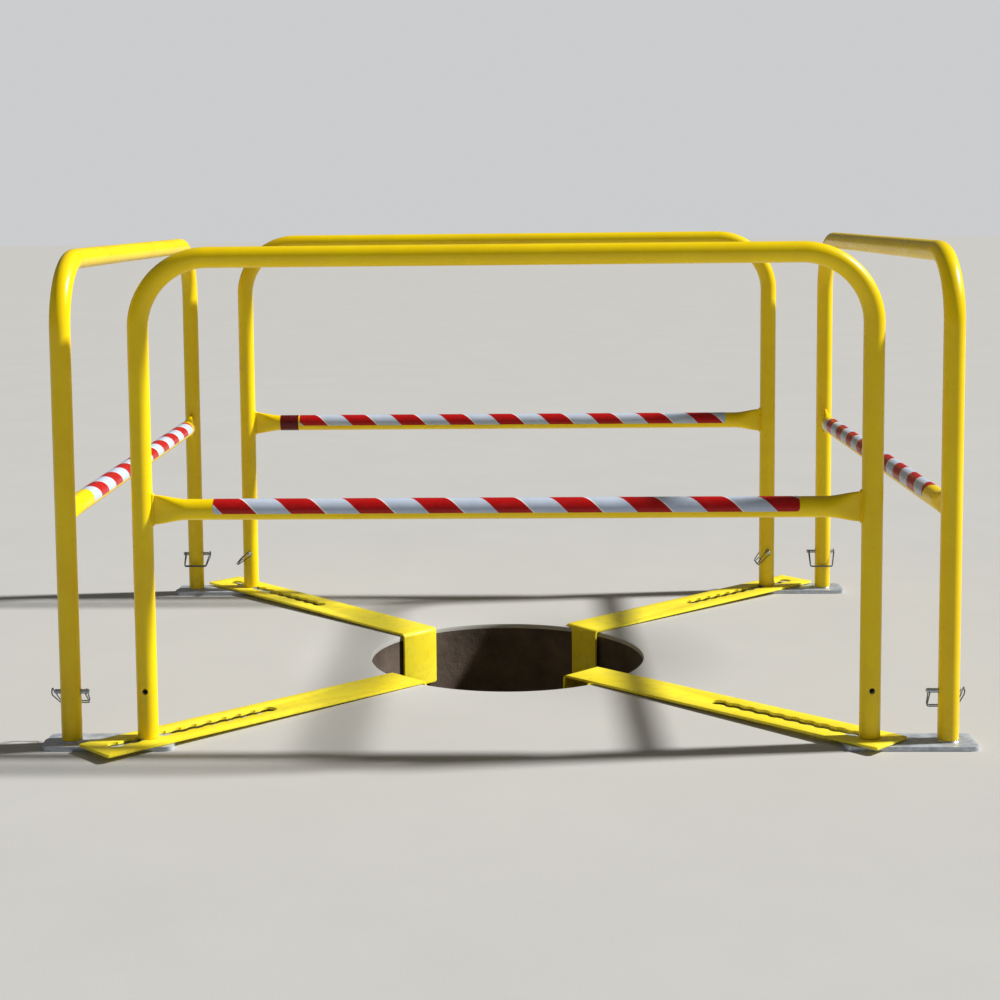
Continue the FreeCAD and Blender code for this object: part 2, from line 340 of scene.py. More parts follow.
def make_rail(name):
    end = HALF - R + 0.0013
    xs = [-end + (end - ROUND_HALF) * k / 28 for k in range(29)] + [-0.4, 0.0, 0.4] + [ROUND_HALF + (end - ROUND_HALF) * k / 28 for k in range(29)]
    seg = 72
    verts, faces = [], []
    for x in xs:
        u = max(0.0, (abs(x) - ROUND_HALF) / (end - ROUND_HALF))
        hh, ht = flat_uv(u)
        # the squashed walls dish in slightly along the middle
        for (px, py, pz) in section(x, hh, ht, seg):
            dish = 1 - 0.16 * u * max(0.0, 1 - abs(pz) / (hh * 0.75)) ** 1.5
            verts.append((px, py * dish, pz + MID_H))
    for i in range(len(xs) - 1):
        faces += bridge(i * seg, (i + 1) * seg, seg)
    faces.append(tuple(range(seg)))
    faces.append(tuple((len(xs) - 1) * seg + k for k in range(seg))[::-1])
    return smooth(new_obj(name, verts, faces), 50)


def bead(name, centres, radii, seg=14, closed=True):
    """A weld bead: a thick line with ripples, along a closed row of centres."""
    n = len(centres)
    path = []
    for i in range(n):
        a, b = centres[(i - 1) % n], centres[(i + 1) % n]
        path.append((centres[i], (b - a).normalized()))
    fr = frames_along(path)
    # undo the twist so that the ring closes
    last = fr[-1]
    verts, faces = [], []
    p0, t0, n0, b0 = fr[0]
    ang = math.atan2(last[2].dot(b0), last[2].dot(n0))
    for i, (p, t, nn, bb) in enumerate(fr):
        q = Matrix.Rotation(-ang * i / (n - 1), 3, t)
        n2 = q @ nn
        b2 = t.cross(n2)
        verts += ring_pts(p, n2, b2, radii[i], seg)
    for i in range(n):
        j = (i + 1) % n
        faces += bridge(i * seg, j * seg, seg)
    return smooth(new_obj(name, verts, faces), 60)


def make_welds(name, seed):
    g = np.random.default_rng(seed)
    parts = []
    for s in (-1, 1):
        # outline of the rail end, resampled evenly
        raw = [Vector((0, p[1], p[2])) for p in section(0, FLAT_H / 2 + 0.0008, FLAT_T / 2 + 0.0008, 96)]
        raw.append(raw[0])
        seglen = [0.0]
        for a, b in zip(raw, raw[1:]):
            seglen.append(seglen[-1] + (b - a).length)
        total = seglen[-1]
        n = 220
        cs, rs = [], []
        ph = g.uniform(0, 6.28)
        for i in range(n):
            d = total * i / n
            k = max(j for j in range(len(seglen) - 1) if seglen[j] <= d)
            f = (d - seglen[k]) / max(1e-9, seglen[k + 1] - seglen[k])
            q = raw[k].lerp(raw[k + 1], f)
            x = HALF - math.sqrt(R * R - q.y * q.y) - 0.0006
            cs.append(Vector((s * x, q.y, q.z + MID_H)))
            ripple = 0.00032 * abs(math.sin(math.pi * d / 0.0026))
            slow = 0.00035 * math.sin(2 * math.pi * d / total * 3 + ph) + 0.0002 * math.sin(2 * math.pi * d / total * 7 + ph * 2)
            ends = 0.0007 * (abs(q.z) / (FLAT_H / 2)) ** 4
            rs.append(0.0024 + ripple + slow + ends)
        parts.append(bead("bead", cs, rs))
    return smooth(join(name, parts), 60)


def make_tape(name, x0, x1, a0, a1, seed, corner=0.008, wrap=False):
    """A strip of tape round the rail: outer skin, edges and back, with rounded corners and faint lifts."""
    g = np.random.default_rng(seed)
    r0, r1 = R + 0.00003, R + 0.00040
    A0, A1 = math.radians(a0), math.radians(a1)
    width = (A1 - A0) * R
    L = x1 - x0
    nx = max(12, int(L / 0.006))
    xs = [x0 + L * k / nx for k in range(nx + 1)]
    if not wrap:
        # finer columns where the corners round off
        cx = [corner * (1 - math.cos(math.radians(90) * k / 7)) for k in range(8)]
        xs = sorted(set([x0 + c for c in cx] + [x1 - c for c in cx] + [x for x in xs if x0 + corner < x < x1 - corner]))
    nt = 72 if wrap else 26
    verts, uvs, faces = [], [], []
    ph = g.uniform(0, 6.28, 4)

    def lift(x, t):
        e = (0.5 + 0.5 * math.sin(x * 31 + ph[0])) * (0.5 + 0.5 * math.sin(x * 12.7 + ph[1]))
        edge = max(0.0, abs(t - 0.5) * 2 - 0.86) / 0.14
        return 0.00022 * e * edge + 0.00005 * math.sin(x * 63 + ph[2]) * math.sin(t * 9 + ph[3])
    cols = []
    for x in xs:
        d = min(x - x0, x1 - x)
        inset = 0.0
        if not wrap and d < corner:
            inset = corner - math.sqrt(max(0.0, corner ** 2 - (corner - d) ** 2))
        ta, tb = inset / width, 1 - inset / width
        cols.append([ta + (tb - ta) * k / nt for k in range(nt + 1)])
    for skin in (0, 1):
        for x, ts in zip(xs, cols):
            for t in ts:
                a = A0 + (A1 - A0) * t
                r = (r1 + (0 if wrap else lift(x, t))) if skin == 0 else r0
                if wrap:
                    r += 0.00042 * min(1.0, max(0.0, (0.045 - t) / 0.015))
                    if skin == 0:
                        r += 0.00006 * math.sin(x * 300 + ph[0]) * math.sin(3 * a + ph[1])
                verts.append((x, -r * math.cos(a), MID_H + r * math.sin(a)))
                uvs.append((x - x0, t * width))
    m, nn = len(xs), nt + 1
    off = m * nn
    for i in range(m - 1):
        for k in range(nt):
            a, b, c, d = i * nn + k, (i + 1) * nn + k, (i + 1) * nn + k + 1, i * nn + k + 1
            faces.append((a, b, c, d))
            faces.append((off + d, off + c, off + b, off + a))
        faces.append((i * nn, off + i * nn, off + (i + 1) * nn, (i + 1) * nn))
        faces.append((i * nn + nt, (i + 1) * nn + nt, off + (i + 1) * nn + nt, off + i * nn + nt))
    for k in range(nt):
        faces.append((k, k + 1, off + k + 1, off + k))
        b = (m - 1) * nn
        faces.append((b + k, off + b + k, off + b + k + 1, b + k + 1))
    o = new_obj(name, verts, faces, uvs)
    return smooth(o, 45)


# ------------------------------------------------------------------ plates
def plate_from_outline(name, outline, holes, thick, extra=None):
    """Flat plate from a 2D outline and holes, top at z = thick."""
    bm = bmesh.new()
    edges = []
    for loop in [outline] + holes:
        vs = [bm.verts.new((x, y, 0)) for x, y in loop]
        for i in range(len(vs)):
            edges.append(bm.edges.new((vs[i], vs[(i + 1) % len(vs)])))
    bmesh.ops.triangle_fill(bm, use_beauty=True, use_dissolve=False, edges=edges, normal=(0, 0, 1))
    if extra:
        extra(bm)
    geo = bmesh.ops.extrude_face_region(bm, geom=bm.faces[:])
    bmesh.ops.translate(bm, verts=[v for v in geo["geom"] if isinstance(v, bmesh.types.BMVert)], vec=(0, 0, thick))
    bmesh.ops.recalc_face_normals(bm, faces=bm.faces[:])
    me = bpy.data.meshes.new(name)
    bm.to_mesh(me)
    bm.free()
    o = bpy.data.objects.new(name, me)
    SC.objects.link(o)
    return o


def arc2(cx, cy, r, a0, a1, n):
    return [(cx + r * math.cos(math.radians(a0 + (a1 - a0) * k / n)), cy + r * math.sin(math.radians(a0 + (a1 - a0) * k / n))) for k in range(n + 1)]


def make_base_plate(name):
    w, h, r = PLATE_L / 2, PLATE_W / 2, PLATE_R
    out = arc2(w - r, h - r, r, 0, 90, 10) + arc2(-w + r, h - r, r, 90, 180, 10) + arc2(-w + r, -h + r, r, 180, 270, 10) + arc2(w - r, -h + r, r, 270, 360, 10)
    o = plate_from_outline(name, out, [], PLATE_T)
    return smooth(bevel(o, 0.0011, 3), 30)


def slot_outline():
    """Scalloped slot: round lobes joined by straight necks. Origin at the outermost lobe."""
    dx = math.sqrt(LOBE_R ** 2 - (NECK / 2) ** 2)
    ang = math.degrees(math.atan2(NECK / 2, dx))
    pts = []
    for k in range(LOBES):
        c = k * PITCH
        a_start = 180 if k == 0 else 180 - ang
        a_end = 0 if k == LOBES - 1 else ang
        pts += arc2(c, 0, LOBE_R, a_start, a_end, 14 if 0 < k < LOBES - 1 else 18)
    low = [(x, -y) for x, y in reversed(pts)]
    full = pts + low[1:-1]
    return full


def make_arm(name, lobe):
    u0 = MARGIN + LOBE_R + lobe * PITCH
    a, b = -u0, ARM_L - u0
    sb = (b - 0.012 + 0.006 * math.sin(TILT)) / math.cos(TILT)
    w, r = ARM_W / 2, 0.004
    phi = math.pi / 2 - TILT
    bend_len = 0.009 * phi
    c_z = ARM_Z0 - sb * math.sin(TILT) - 0.006 * math.cos(TILT)
    flange = c_z + 0.143
    out = [(sb, -w), (sb, w)] + arc2(a + r, w - r, r, 90, 180, 6) + arc2(a + r, -w + r, r, 180, 270, 6)
    hole = [(x - lobe * PITCH, y) for x, y in slot_outline()]

    def extra(bm):
        # bend and flange strips beyond the flat part
        vs = [v for v in bm.verts if abs(v.co.x - sb) < 1e-6]
        vs.sort(key=lambda v: v.co.y)
        prev = vs
        stops = [sb + bend_len * k / 12 for k in range(1, 13)] + [sb + bend_len + (flange - 0.006) * k / 3 for k in (1, 2, 3)]
        for s in stops:
            cur = [bm.verts.new((s, v.co.y, 0)) for v in prev]
            for i in range(len(cur) - 1):
                bm.faces.new((prev[i], cur[i], cur[i + 1], prev[i + 1]))
            prev = cur
        # rounded lower corners of the flange
        e = sb + bend_len + flange
        lo = [bm.verts.new((e - 0.006 + 0.006 * math.sin(math.radians(90 * k / 6)), -w + 0.006 - 0.006 * math.cos(math.radians(90 * k / 6)), 0)) for k in range(1, 7)]
        hi = [bm.verts.new((v.co.x, -v.co.y, 0)) for v in reversed(lo)]
        bm.faces.new([prev[0]] + lo + hi + [prev[-1]])
    o = plate_from_outline(name, out, [hole], ARM_T, extra)
    bevel(o, 0.0007, 2, 44)
    ct, st = math.cos(TILT), math.sin(TILT)
    me = o.data
    for v in me.vertices:
        s, y, z = v.co
        if s > sb:
            f = min(phi, (s - sb) / 0.009)
            rr = 0.006 + z
            ls, lz = sb + rr * math.sin(f), -0.006 + rr * math.cos(f)
            rest = s - sb - bend_len
            if rest > 0:
                ls += rest * math.cos(f)
                lz -= rest * math.sin(f)
            s, z = ls, lz
        v.co = (s * ct + z * st, y, ARM_Z0 - s * st + z * ct)
    return smooth(o, 30)


def make_spigot(name, hole_z, across):
    top = SPIGOT_TOP - PLATE_T
    p = [(Vector((0, 0, z)), Vector((0, 0, 1))) for z in (0, 0.02, hole_z - 0.012, hole_z + 0.012, top)]
    o = tube(name, p, SPIGOT_R, SPIGOT_RI, seg=64, chamfer=0.0018, first=(1, 0, 0))
    cut(o, [hole_cutter((0, 0, hole_z), across, HOLE_R, 0.025, SPIGOT_R)])
    return smooth(o, 32)


def make_ring_weld(name, seed):
    """Rippled fillet round the foot of an outer spigot."""
    g = np.random.default_rng(seed)
    ph = g.uniform(0, 6.28)
    n = 180
    verts, faces = [], []
    prof = [(0.0174, 0.0), (0.0233, 0.0), (0.0231, 0.0011), (0.0225, 0.0021), (0.0214, 0.0029), (0.0200, 0.0034), (0.0174, 0.0035)]
    for i in range(n):
        a = 2 * math.pi * i / n
        rip = 0.00035 * abs(math.sin(a * 27)) + 0.0005 * math.sin(2 * a + ph)
        for k, (r, z) in enumerate(prof):
            rr = r + (rip if 0 < k < 5 else 0)
            verts.append((rr * math.cos(a), rr * math.sin(a), z * (1 if k in (0, 6) else 1 - 30 * abs(rip) * (k == 5))))
    m = len(prof)
    for i in range(n):
        j = (i + 1) % n
        for k in range(m):
            faces.append((i * m + k, j * m + k, j * m + (k + 1) % m, i * m + (k + 1) % m))
    return smooth(new_obj(name, verts, faces), 50)


# ------------------------------------------------------------------ pins and bails, pin-local: axis along X, bail below
def make_pin(name, side, lean, px):
    a, b = px - PIN_TAIL, px + PIN_REACH
    prof = [(a, PIN_R * 0.55), (a + 0.0003, PIN_R - 0.0011), (a + 0.0009, PIN_R - 0.0003), (a + 0.0016, PIN_R),
            (px - 0.0035, PIN_R), (px + 0.0035, PIN_R), (0.0, PIN_R), (b - 0.0034, PIN_R), (b - 0.0028, PIN_R - 0.0004),
            (b - 0.0004, 0.0024), (b - 0.0001, 0.0019), (b, 0.0012)]
    o = lathe_x(name, prof, 56)
    cut(o, [hole_cutter((px, 0, 0), (0, 1, 0), WIRE_R + 0.0002, 0.02)])
    smooth(o, 32)
    o.data.transform(Matrix.Rotation(side * math.radians(lean), 4, "X"))
    return o


def make_bail(name, side, lean, px):
    n, nb, d = BAIL_N, BAIL_NB, BAIL_D
    lx = px + PIN_REACH + 0.0026
    half = [(px, 0.0004, 0), (px, n + 0.0006, 0), (px + 0.001, nb, -d), (lx - 0.008, nb, -d), (lx, n, -0.005), (lx, n, n)]
    pts = half + [(x, -y, z) for x, y, z in reversed(half)]
    path = fillet_path(pts, [0.0022, 0.005, 0.005, 0.003, 0.0064, 0.0064, 0.003, 0.005, 0.005, 0.0022], step=math.radians(9))
    o = tube(name, path, WIRE_R, None, seg=20)
    smooth(o, 50)
    o.data.transform(Matrix.Rotation(side * math.radians(lean), 4, "X"))
    return o


# ------------------------------------------------------------------ materials
class Mat:
    """Small helper round one node tree."""

    def __init__(self, name):
        self.m = bpy.data.materials.new(name)
        self.m.use_nodes = True
        self.nt = self.m.node_tree
        self.nt.nodes.clear()
        self.out = self.nt.nodes.new("ShaderNodeOutputMaterial")
        self.b = self.nt.nodes.new("ShaderNodeBsdfPrincipled")
        self.nt.links.new(self.b.outputs[0], self.out.inputs[0])
        self.tc = self.nt.nodes.new("ShaderNodeTexCoord")
        self.obj = self.tc.outputs["Object"]
        self.uv = self.tc.outputs["UV"]

    def node(self, kind, **kw):
        n = self.nt.nodes.new(kind)
        for k, v in kw.items():
            setattr(n, k, v)
        return n

    def put(self, sock, v):
        if isinstance(v, bpy.types.NodeSocket):
            self.nt.links.new(v, sock)
        else:
            sock.default_value = v

    def math(self, op, a, b=0.0, c=0.0, clamp=False):
        n = self.node("ShaderNodeMath", operation=op, use_clamp=clamp)
        self.put(n.inputs[0], a)
        self.put(n.inputs[1], b)
        self.put(n.inputs[2], c)
        return n.outputs[0]

    def scale(self, vec, s):
        n = self.node("ShaderNodeMapping")
        self.put(n.inputs["Vector"], vec)
        n.inputs["Scale"].default_value = s
        return n.outputs[0]

    def noise(self, s, detail=3, rough=0.5, vec=None, dist=0.0):
        n = self.node("ShaderNodeTexNoise")
        self.put(n.inputs["Vector"], vec or self.obj)
        n.inputs["Scale"].default_value = s
        n.inputs["Detail"].default_value = detail
        n.inputs["Roughness"].default_value = rough
        n.inputs["Distortion"].default_value = dist
        return n.outputs[0]

    def voronoi(self, s, feature="F1", out="Distance", vec=None, rand=1.0):
        n = self.node("ShaderNodeTexVoronoi", feature=feature)
        self.put(n.inputs["Vector"], vec or self.obj)
        n.inputs["Scale"].default_value = s
        n.inputs["Randomness"].default_value = rand
        return n.outputs[out]

    def remap(self, v, a, b, lo=0.0, hi=1.0, smoothstep=False):
        n = self.node("ShaderNodeMapRange", interpolation_type="SMOOTHSTEP" if smoothstep else "LINEAR")
        self.put(n.inputs["Value"], v)
        for k, x in (("From Min", a), ("From Max", b), ("To Min", lo), ("To Max", hi)):
            self.put(n.inputs[k], x)
        return n.outputs["Result"]

    def mix(self, f, a, b, mode="MIX"):
        n = self.node("ShaderNodeMix", data_type="RGBA", blend_type=mode)
        self.put(n.inputs["Factor"], f)
        self.put(n.inputs["A"], a)
        self.put(n.inputs["B"], b)
        return n.outputs["Result"]

    def sep(self, vec):
        n = self.node("ShaderNodeSeparateXYZ")
        self.put(n.inputs[0], vec)
        return n.outputs

    def combine(self, x, y, z):
        n = self.node("ShaderNodeCombineXYZ")
        for i, v in enumerate((x, y, z)):
            self.put(n.inputs[i], v)
        return n.outputs[0]

    def bump(self, h, dist, strength=1.0, after=None):
        n = self.node("ShaderNodeBump")
        n.inputs["Strength"].default_value = strength
        n.inputs["Distance"].default_value = dist
        self.put(n.inputs["Height"], h)
        if after is not None:
            self.put(n.inputs["Normal"], after)
        return n.outputs[0]

    def edges(self, radius, lo=0.80, hi=0.97):
        """1 on sharp outer edges, from the difference between the rounded and the true normal."""
        bv = self.node("ShaderNodeBevel", samples=4)
        bv.inputs["Radius"].default_value = radius
        g = self.node("ShaderNodeNewGeometry")
        d = self.node("ShaderNodeVectorMath", operation="DOT_PRODUCT")
        self.put(d.inputs[0], bv.outputs[0])
        self.put(d.inputs[1], g.outputs["True Normal"])
        return self.remap(d.outputs["Value"], lo, hi, 1.0, 0.0)


def c4(r, g, b):
    """Display colour 0-255 to a linear colour."""
    return tuple((x / 255 / 12.92 if x <= 10 else ((x / 255 + 0.055) / 1.055) ** 2.4) for x in (r, g, b)) + (1.0,)


def yellow(name, worn=0.0, base=(252, 218, 0), deep=(246, 206, 0)):
    """Powder coat: orange peel, fine dust, scuffs, scratches and chips, with more of all near the ground."""
    m = Mat(name)
    z = m.sep(m.obj)[2]
    low = m.remap(z, ZG + 0.22, ZG + 0.01)
    tone = m.noise(5.0, 4, 0.6)
    col = m.mix(m.remap(tone, 0.35, 0.68), c4(*base), c4(*deep))
    # sun-faded, slightly chalky patches
    chalk = m.remap(m.noise(13.0, 5, 0.65), 0.52, 0.80, 0.0, 0.06 + 0.40 * worn)
    col = m.mix(chalk, col, c4(252, 236, 120))
    # fine scratches, two directions
    scr = []
    for i, s in enumerate(((420, 420, 14), (26, 380, 380), (360, 30, 360))):
        v = m.scale(m.obj, s)
        n = m.noise(1.0, 2, 0.5, vec=v, dist=0.4)
        gate = m.remap(m.noise(9.0 + 4 * i, 2), 0.50, 0.62)
        scr.append(m.math("MULTIPLY", m.remap(n, 0.715 - 0.02 * worn, 0.75 - 0.02 * worn), gate))
    scratches = m.math("MAXIMUM", scr[0], m.math("MAXIMUM", scr[1], scr[2]))
    col = m.mix(m.math("MULTIPLY", scratches, 0.30 + 0.25 * worn), col, c4(255, 240, 150))
    # grey-brown dust and rubbed marks
    grime = m.math("MULTIPLY", m.remap(m.noise(38.0, 6, 0.7), 0.50, 0.74), m.math("MULTIPLY_ADD", low, 0.16, 0.05 + 0.04 * worn))
    col = m.mix(grime, col, c4(128, 112, 66))
    marks = m.math("MULTIPLY", m.remap(m.noise(1.0, 4, 0.7, vec=m.scale(m.obj, (55, 55, 95)), dist=1.2), 0.675, 0.72), m.math("MULTIPLY_ADD", low, 0.10, 0.10 + 0.12 * worn))
    col = m.mix(marks, col, c4(96, 88, 62))
    # chips down to steel
    chipn = m.math("ADD", m.noise(95.0, 5, 0.72), m.math("MULTIPLY_ADD", low, 0.035, 0.012 * worn))
    chips = m.remap(chipn, 0.735, 0.75)
    edge = m.edges(0.0016)
    edgechip = m.math("MULTIPLY", edge, m.remap(m.noise(70.0, 5, 0.75), 0.50 - 0.04 * worn, 0.60 - 0.04 * worn))
    bare = m.math("MAXIMUM", chips, m.math("MULTIPLY", edgechip, 0.75 + 0.2 * worn), clamp=True)
    steel = m.mix(m.noise(160.0, 3), c4(112, 110, 104), c4(164, 160, 150))
    col = m.mix(bare, col, steel)
    m.put(m.b.inputs["Base Color"], col)
    rough = m.remap(m.noise(17.0, 4, 0.6), 0.3, 0.7, 0.24 + 0.10 * worn, 0.40 + 0.14 * worn)
    rough = m.math("ADD", rough, m.math("MULTIPLY", m.math("MAXIMUM", grime, scratches), 0.30), clamp=True)
    m.put(m.b.inputs["Roughness"], rough)
    m.put(m.b.inputs["Metallic"], m.math("MULTIPLY", bare, 0.85))
    m.b.inputs["Specular IOR Level"].default_value = 0.28
    m.b.inputs["Coat Weight"].default_value = 0.08 if not worn else 0.02
    m.b.inputs["Coat Roughness"].default_value = 0.18
    peel = m.bump(m.noise(560.0, 2, 0.45), 0.00022, 0.55)
    wave = m.bump(m.noise(90.0, 2, 0.5), 0.0006, 0.22, peel)
    dents = m.bump(m.math("MULTIPLY", m.math("MAXIMUM", bare, scratches), -1.0), 0.00025, 0.8, wave)
    m.put(m.b.inputs["Normal"], dents)
    return m.m


def tape(name, stripes, period=0.143, phase=0.0, slant=0.60, fresh=1.0, red_share=0.5):
    """Retroreflective tape: red and white diagonals, fine prismatic cells, pale edge lines, dust and small nicks."""
    m = Mat(name)
    u, v, _ = m.sep(m.uv)
    wob = m.math("MULTIPLY", m.math("SUBTRACT", m.noise(30.0, 2), 0.5), 0.0006)
    if stripes:
        p = m.math("ADD", m.math("ADD", u, m.math("MULTIPLY", v, slant)), phase)
        p = m.math("ADD", p, wob)
        fr = m.math("FRACT", m.math("DIVIDE", p, period))
        d = m.math("SUBTRACT", red_share / 2, m.math("ABSOLUTE", m.math("SUBTRACT", fr, red_share / 2)))
        red = m.remap(d, -0.002, 0.002)
        line = m.remap(d, -0.026, -0.021)
    # cells: a fine hexagonal-looking net about 3 mm across
    cellv = m.combine(u, v, 0.0)
    net = m.voronoi(330.0, "DISTANCE_TO_EDGE", vec=cellv, rand=0.12)
    netl = m.remap(net, 0.02, 0.09, 1.0, 0.0)
    bead_ = m.voronoi(2600.0, "F1", "Color", vec=cellv)
    spark = m.remap(m.sep(bead_)[0], 0.0, 1.0, 0.93, 1.05)
    dust = m.remap(m.noise(60.0, 6, 0.7), 0.52, 0.80, 0.0, 0.20)
    streak = m.remap(m.noise(1.0, 3, 0.6, vec=m.scale(m.uv, (26, 300, 1))), 0.52, 0.72, 0.0, 0.10)
    redc = m.mix(m.noise(22.0, 3), c4(200, 0, 0), c4(166, 0, 0))
    if stripes:
        whitec = m.mix(m.noise(18.0, 3), c4(206, 218, 236), c4(184, 200, 226))
        whitec = m.mix(line, whitec, c4(252, 246, 246))
        col = m.mix(red, whitec, redc)
    else:
        col = m.mix(m.noise(22.0, 3), c4(104, 0, 3), c4(84, 0, 2))
    col = m.mix(m.math("MULTIPLY", netl, 0.10), col, c4(150, 140, 150))
    mul = m.node("ShaderNodeVectorMath", operation="SCALE")
    m.put(mul.inputs[0], col)
    m.put(mul.inputs["Scale"], spark)
    soil = m.math("MAXIMUM", dust, streak)
    if stripes:
        soil = m.math("MULTIPLY", soil, m.math("MULTIPLY_ADD", red, -0.75, 1.0))
    else:
        soil = m.math("MULTIPLY", soil, 0.25)
    col = m.mix(soil, mul.outputs[0], c4(150, 138, 122))
    nick = m.math("MULTIPLY", m.remap(m.noise(120.0, 5, 0.75), 0.745, 0.76), 0.6)
    col = m.mix(nick, col, c4(110, 96, 80))
    m.put(m.b.inputs["Base Color"], col)
    m.put(m.b.inputs["Roughness"], m.math("ADD", m.remap(m.noise(40.0, 4), 0.3, 0.7, 0.22, 0.40), m.math("MULTIPLY", dust, 0.5), clamp=True))
    m.b.inputs["Specular IOR Level"].default_value = 0.22
    m.b.inputs["Coat Weight"].default_value = 0.08
    m.b.inputs["Coat Roughness"].default_value = 0.10
    h = m.bump(m.math("ADD", m.math("MULTIPLY", netl, -0.6), m.math("MULTIPLY", m.sep(bead_)[1], 0.25)), 0.00010, 0.6)
    ripple = m.bump(m.noise(1.0, 3, 0.55, vec=m.scale(m.uv, (40, 110, 1))), 0.0009, 0.35, h)
    m.put(m.b.inputs["Normal"], ripple)
    return m.m


def galvanised(name, bright=0.0):
    """Hot-dip zinc: spangle, dull bloom, runs, scratches, dark stains."""
    m = Mat(name)
    warp = m.noise(30.0, 2)
    wv = m.node("ShaderNodeVectorMath", operation="MULTIPLY_ADD")
    m.put(wv.inputs[0], m.combine(warp, m.noise(34.0, 2), m.noise(27.0, 2)))
    wv.inputs[1].default_value = (0.008, 0.008, 0.008)
    m.put(wv.inputs[2], m.obj)
    v = wv.outputs[0]
    cell = m.voronoi(95.0, "F1", "Color", vec=v)
    cr, cg, cb = m.sep(cell)
    bord = m.remap(m.voronoi(95.0, "DISTANCE_TO_EDGE", vec=v), 0.0, 0.05, 1.0, 0.0)
    col = m.mix(cr, c4(176 + 12 * bright, 185 + 12 * bright, 200 + 12 * bright), c4(202 + 12 * bright, 210 + 12 * bright, 222 + 12 * bright))
    feather = m.noise(1.0, 3, 0.6, vec=m.scale(v, (420, 60, 420)))
    col = m.mix(m.remap(feather, 0.4, 0.7, 0.0, 0.30), col, c4(205, 211, 216))
    col = m.mix(m.math("MULTIPLY", bord, 0.22), col, c4(128, 136, 148))
    bloom = m.remap(m.noise(16.0, 6, 0.7), 0.45, 0.72, 0.0, 0.75 - 0.4 * bright)
    col = m.mix(bloom, col, c4(192, 201, 214))
    stain = m.math("MULTIPLY", m.remap(m.noise(24.0, 6, 0.75), 0.58, 0.80), 0.45 - 0.25 * bright)
    col = m.mix(stain, col, c4(112, 116, 124))
    scr = m.remap(m.noise(1.0, 2, 0.5, vec=m.scale(m.obj, (22, 520, 520)), dist=0.5), 0.70, 0.74)
    col = m.mix(m.math("MULTIPLY", scr, 0.6), col, c4(214, 216, 220))
    edge = m.edges(0.0022, 0.78, 0.97)
    col = m.mix(m.math("MULTIPLY", edge, 0.45), col, c4(206, 210, 215))
    m.put(m.b.inputs["Base Color"], col)
    m.put(m.b.inputs["Metallic"], m.remap(m.math("MAXIMUM", stain, bloom), 0.0, 0.8, 0.45 + 0.35 * bright, 0.15 + 0.3 * bright))
    r = m.math("MULTIPLY_ADD", cg, 0.16, 0.30 - 0.10 * bright)
    r = m.math("ADD", r, m.math("MULTIPLY", m.math("MAXIMUM", bloom, stain), 0.28), clamp=True)
    m.put(m.b.inputs["Roughness"], r)
    h1 = m.bump(m.math("ADD", m.math("MULTIPLY", cb, 0.5), m.math("MULTIPLY", bord, -0.6)), 0.00018, 0.6)
    h2 = m.bump(m.noise(70.0, 4, 0.6), 0.0009, 0.30, h1)
    h3 = m.bump(m.math("MULTIPLY", scr, -1.0), 0.0002, 0.6, h2)
    m.put(m.b.inputs["Normal"], h3)
    return m.m


def zinc(name, axis, dark=0.0):
    """Electroplated steel: faint turning lines across the axis, blue-grey clouding, small dull spots."""
    m = Mat(name)
    s = {"X": (1500, 30, 30), "Y": (30, 1500, 30), "A": (300, 300, 300)}[axis]
    lines = m.noise(1.0, 2, 0.6, vec=m.scale(m.obj, s))
    cloud = m.noise(150.0, 4, 0.6)
    a = c4(150 - 60 * dark, 164 - 66 * dark, 178 - 70 * dark)
    b = c4(196 - 76 * dark, 206 - 80 * dark, 214 - 82 * dark)
    col = m.mix(m.remap(cloud, 0.3, 0.7), a, b)
    col = m.mix(m.remap(lines, 0.35, 0.75, 0.0, 0.30), col, c4(226 - 80 * dark, 230 - 80 * dark, 234 - 80 * dark))
    spots = m.remap(m.noise(420.0, 4, 0.7), 0.62, 0.72, 0.0, 0.65)
    col = m.mix(spots, col, c4(104, 100, 92))
    m.put(m.b.inputs["Base Color"], col)
    m.put(m.b.inputs["Metallic"], m.remap(spots, 0.0, 0.65, 0.55, 0.3))
    m.put(m.b.inputs["Roughness"], m.math("ADD", m.remap(cloud, 0.3, 0.7, 0.26, 0.42), m.math("MULTIPLY", spots, 0.4), clamp=True))
    h = m.bump(lines, 0.00006, 0.5)
    h = m.bump(spots, 0.00008, 0.4, h)
    m.put(m.b.inputs["Normal"], h)
    return m.m


def floor_mat():
    m = Mat("pale_floor")
    col = m.mix(m.remap(m.noise(3.0, 5, 0.6), 0.3, 0.7), c4(188, 188, 187), c4(191, 191, 190))
    m.put(m.b.inputs["Base Color"], col)
    m.b.inputs["Roughness"].default_value = 0.85
    m.b.inputs["Specular IOR Level"].default_value = 0.15
    m.put(m.b.inputs["Normal"], m.bump(m.noise(260.0, 3), 0.0006, 0.25))
    return m.m


def shaft_mat():
    m = Mat("plain_shaft")
    col = m.mix(m.remap(m.noise(9.0, 5, 0.65), 0.3, 0.7), c4(66, 56, 50), c4(104, 90, 80))
    m.put(m.b.inputs["Base Color"], col)
    m.b.inputs["Roughness"].default_value = 0.9
    m.put(m.b.inputs["Normal"], m.bump(m.noise(40.0, 5, 0.65), 0.004, 0.6))
    return m.m


